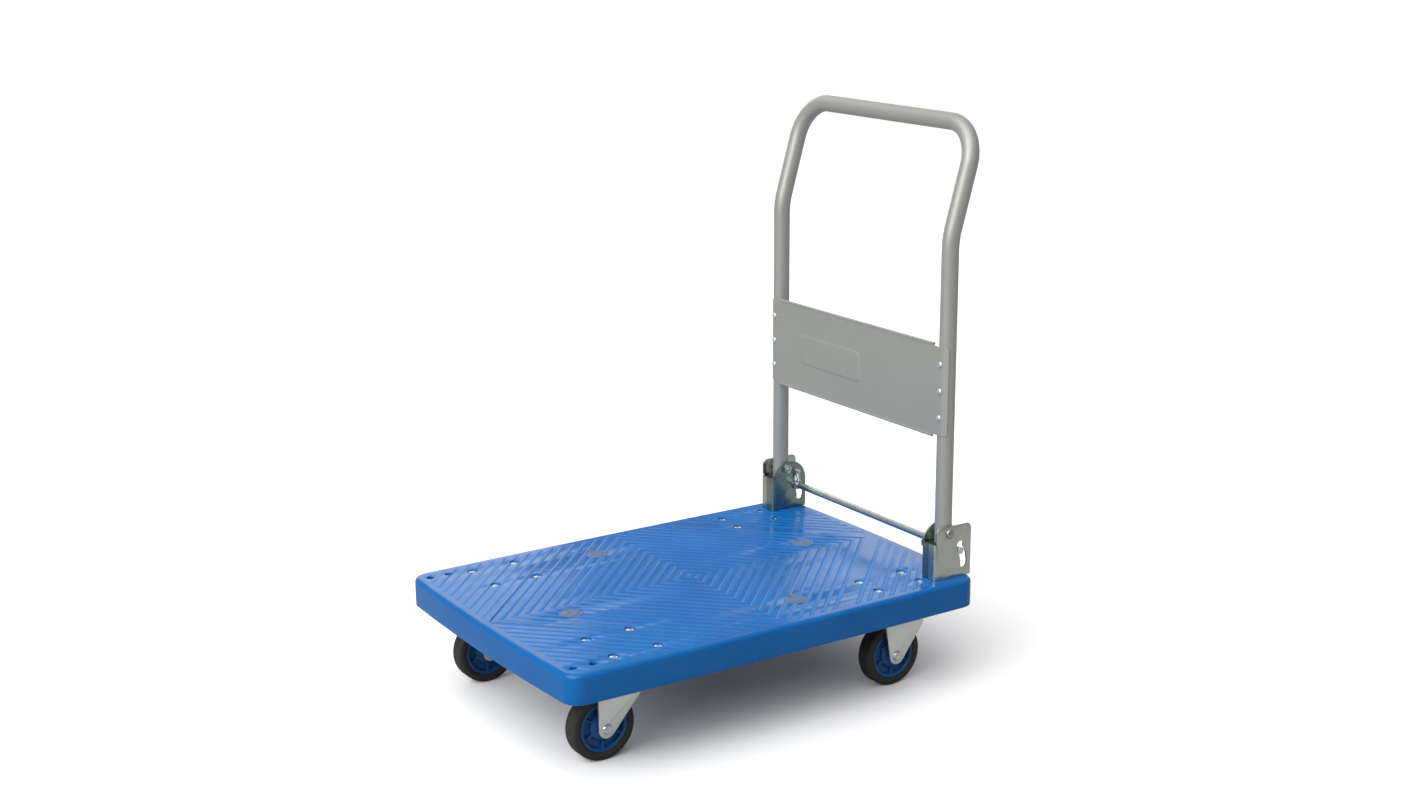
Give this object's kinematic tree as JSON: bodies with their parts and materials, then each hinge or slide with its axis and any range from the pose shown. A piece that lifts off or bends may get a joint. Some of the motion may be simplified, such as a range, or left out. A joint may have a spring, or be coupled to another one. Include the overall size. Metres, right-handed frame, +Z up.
{
  "type": "folding platform cart",
  "caption": "Flat plastic platform cart with a fold-down tubular push handle, foot-operated lock rod, swivel casters at the free end and fixed casters at the handle end.",
  "frame": {"origin": "on the floor, below the middle of the outline of the whole cart", "axes": "+Z up, +X towards the handle end, +Y to the left of someone who stands at the free end and faces the handle"},
  "size_m": [0.739, 0.504, 0.86],
  "materials": {
    "deck_blue": "glossy injection-moulded blue plastic, fine ribbed anti-slip top",
    "cap_slate": "matt grey-blue plugs",
    "zinc_sheet": "bright zinc-plated pressed steel",
    "zinc_rod": "bright zinc-plated steel bar",
    "bright_steel": "zinc-plated fasteners",
    "silver_paint": "silver-grey powder coat with a faint metallic texture",
    "black_plastic": "black moulded plastic",
    "hub_navy": "dark blue moulded plastic",
    "tyre_black": "dull black rubber with a smooth tread"
  },
  "bodies": {
    "root": {"deck": "deck_blue", "deck_caps": "cap_slate", "bracket_outer_near": "zinc_sheet", "bracket_outer_far": "zinc_sheet", "bracket_inner_near": "zinc_sheet", "bracket_inner_far": "zinc_sheet", "bracket_bolts": "bright_steel", "bracket_nuts": "bright_steel", "stop_blocks": "black_plastic", "pivot_bolts": "bright_steel", "pivot_nuts": "bright_steel", "spring_posts": "bright_steel", "lock_springs": "bright_steel", "caster_bolts": "bright_steel", "caster_washers": "bright_steel", "caster_nuts": "bright_steel", "swivel_plate_near": "zinc_sheet", "swivel_plate_far": "zinc_sheet", "kingpin_near": "bright_steel", "kingpin_far": "bright_steel", "kingpin_nuts": "bright_steel", "swivel_balls_near": "bright_steel", "swivel_balls_far": "bright_steel", "fixed_fork_near": "zinc_sheet", "fixed_fork_far": "zinc_sheet", "fixed_axles": "bright_steel", "fixed_axle_nuts": "bright_steel", "fixed_bushes": "bright_steel"},
    "handle": {"handle_tube": "silver_paint", "handle_end_plugs": "black_plastic", "handle_panel": "silver_paint", "panel_rivets": "silver_paint", "pivot_bushes": "bright_steel"},
    "rod": {"lock_rod": "zinc_rod", "rod_clips": "bright_steel"},
    "swivel_near": {"swivel_fork_near": "zinc_sheet", "swivel_axle_near": "bright_steel", "swivel_axle_nut_near": "bright_steel", "swivel_bush_near": "bright_steel"},
    "swivel_wheel_near": {"swivel_hub_near": "hub_navy", "swivel_tyre_near": "tyre_black"},
    "fixed_wheel_near": {"fixed_hub_near": "hub_navy", "fixed_tyre_near": "tyre_black"},
    "swivel_far": {"swivel_fork_far": "zinc_sheet", "swivel_axle_far": "bright_steel", "swivel_axle_nut_far": "bright_steel", "swivel_bush_far": "bright_steel"},
    "swivel_wheel_far": {"swivel_hub_far": "hub_navy", "swivel_tyre_far": "tyre_black"},
    "fixed_wheel_far": {"fixed_hub_far": "hub_navy", "fixed_tyre_far": "tyre_black"}
  },
  "joints": [
    {"name": "handle_fold", "type": "hinge", "parent": "root", "child": "handle", "pos_m": [0.30898, 0, 0.235], "axis": [0, -1, 0], "range_deg": [0, 90]},
    {"name": "rod_press", "type": "slide", "parent": "root", "child": "rod", "axis": [0.1908, 0, -0.9816], "range_m": [-0.011, 0.0205], "stiffness_N_per_m": 273, "springref_m": -0.012, "deforming": ["lock_springs"]},
    {"name": "swivel_turn_near", "type": "hinge", "parent": "root", "child": "swivel_near", "pos_m": [-0.23802, -0.173, 0.1225], "axis": [0, 0, 1], "continuous": true},
    {"name": "swivel_roll_near", "type": "hinge", "parent": "swivel_near", "child": "swivel_wheel_near", "pos_m": [-0.27602, -0.173, 0.05], "axis": [0, 1, 0], "continuous": true},
    {"name": "fixed_roll_near", "type": "hinge", "parent": "root", "child": "fixed_wheel_near", "pos_m": [0.22798, -0.186, 0.05], "axis": [0, 1, 0], "continuous": true},
    {"name": "swivel_turn_far", "type": "hinge", "parent": "root", "child": "swivel_far", "pos_m": [-0.23802, 0.173, 0.1225], "axis": [0, 0, 1], "continuous": true},
    {"name": "swivel_roll_far", "type": "hinge", "parent": "swivel_far", "child": "swivel_wheel_far", "pos_m": [-0.27602, 0.173, 0.05], "axis": [0, 1, 0], "continuous": true},
    {"name": "fixed_roll_far", "type": "hinge", "parent": "root", "child": "fixed_wheel_far", "pos_m": [0.22798, 0.186, 0.05], "axis": [0, 1, 0], "continuous": true}
  ]
}
